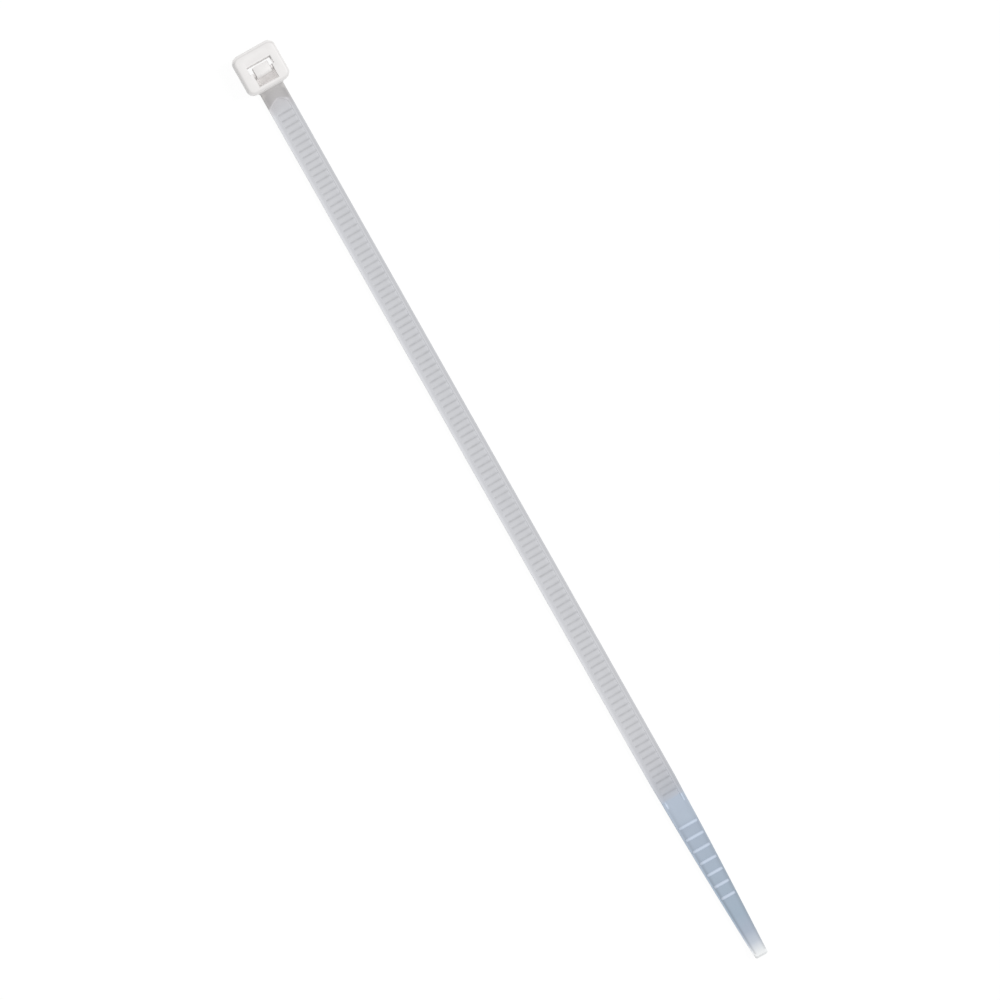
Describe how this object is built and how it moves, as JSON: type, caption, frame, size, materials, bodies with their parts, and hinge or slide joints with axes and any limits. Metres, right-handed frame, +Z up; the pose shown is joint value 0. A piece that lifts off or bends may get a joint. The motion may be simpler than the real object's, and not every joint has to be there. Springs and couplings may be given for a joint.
{
  "type": "cable tie",
  "caption": "Open cable tie in natural nylon: squared head with a slot and a toothed pawl, flat ratchet strap with side rails, tapered tail with grip ridges and an upturned tip.",
  "frame": {"origin": "centre of the strap slot, on the flat underside that the tie lies on", "axes": "+X along the strap from the head towards the tail tip, +Z up out of the face where the strap leaves the head"},
  "size_m": [0.1897, 0.0086, 0.0056],
  "materials": {
    "natural_nylon": "moulded, soft sheen, slightly see-through"
  },
  "bodies": {
    "root": {"cable_tie": "natural_nylon"}
  },
  "joints": []
}
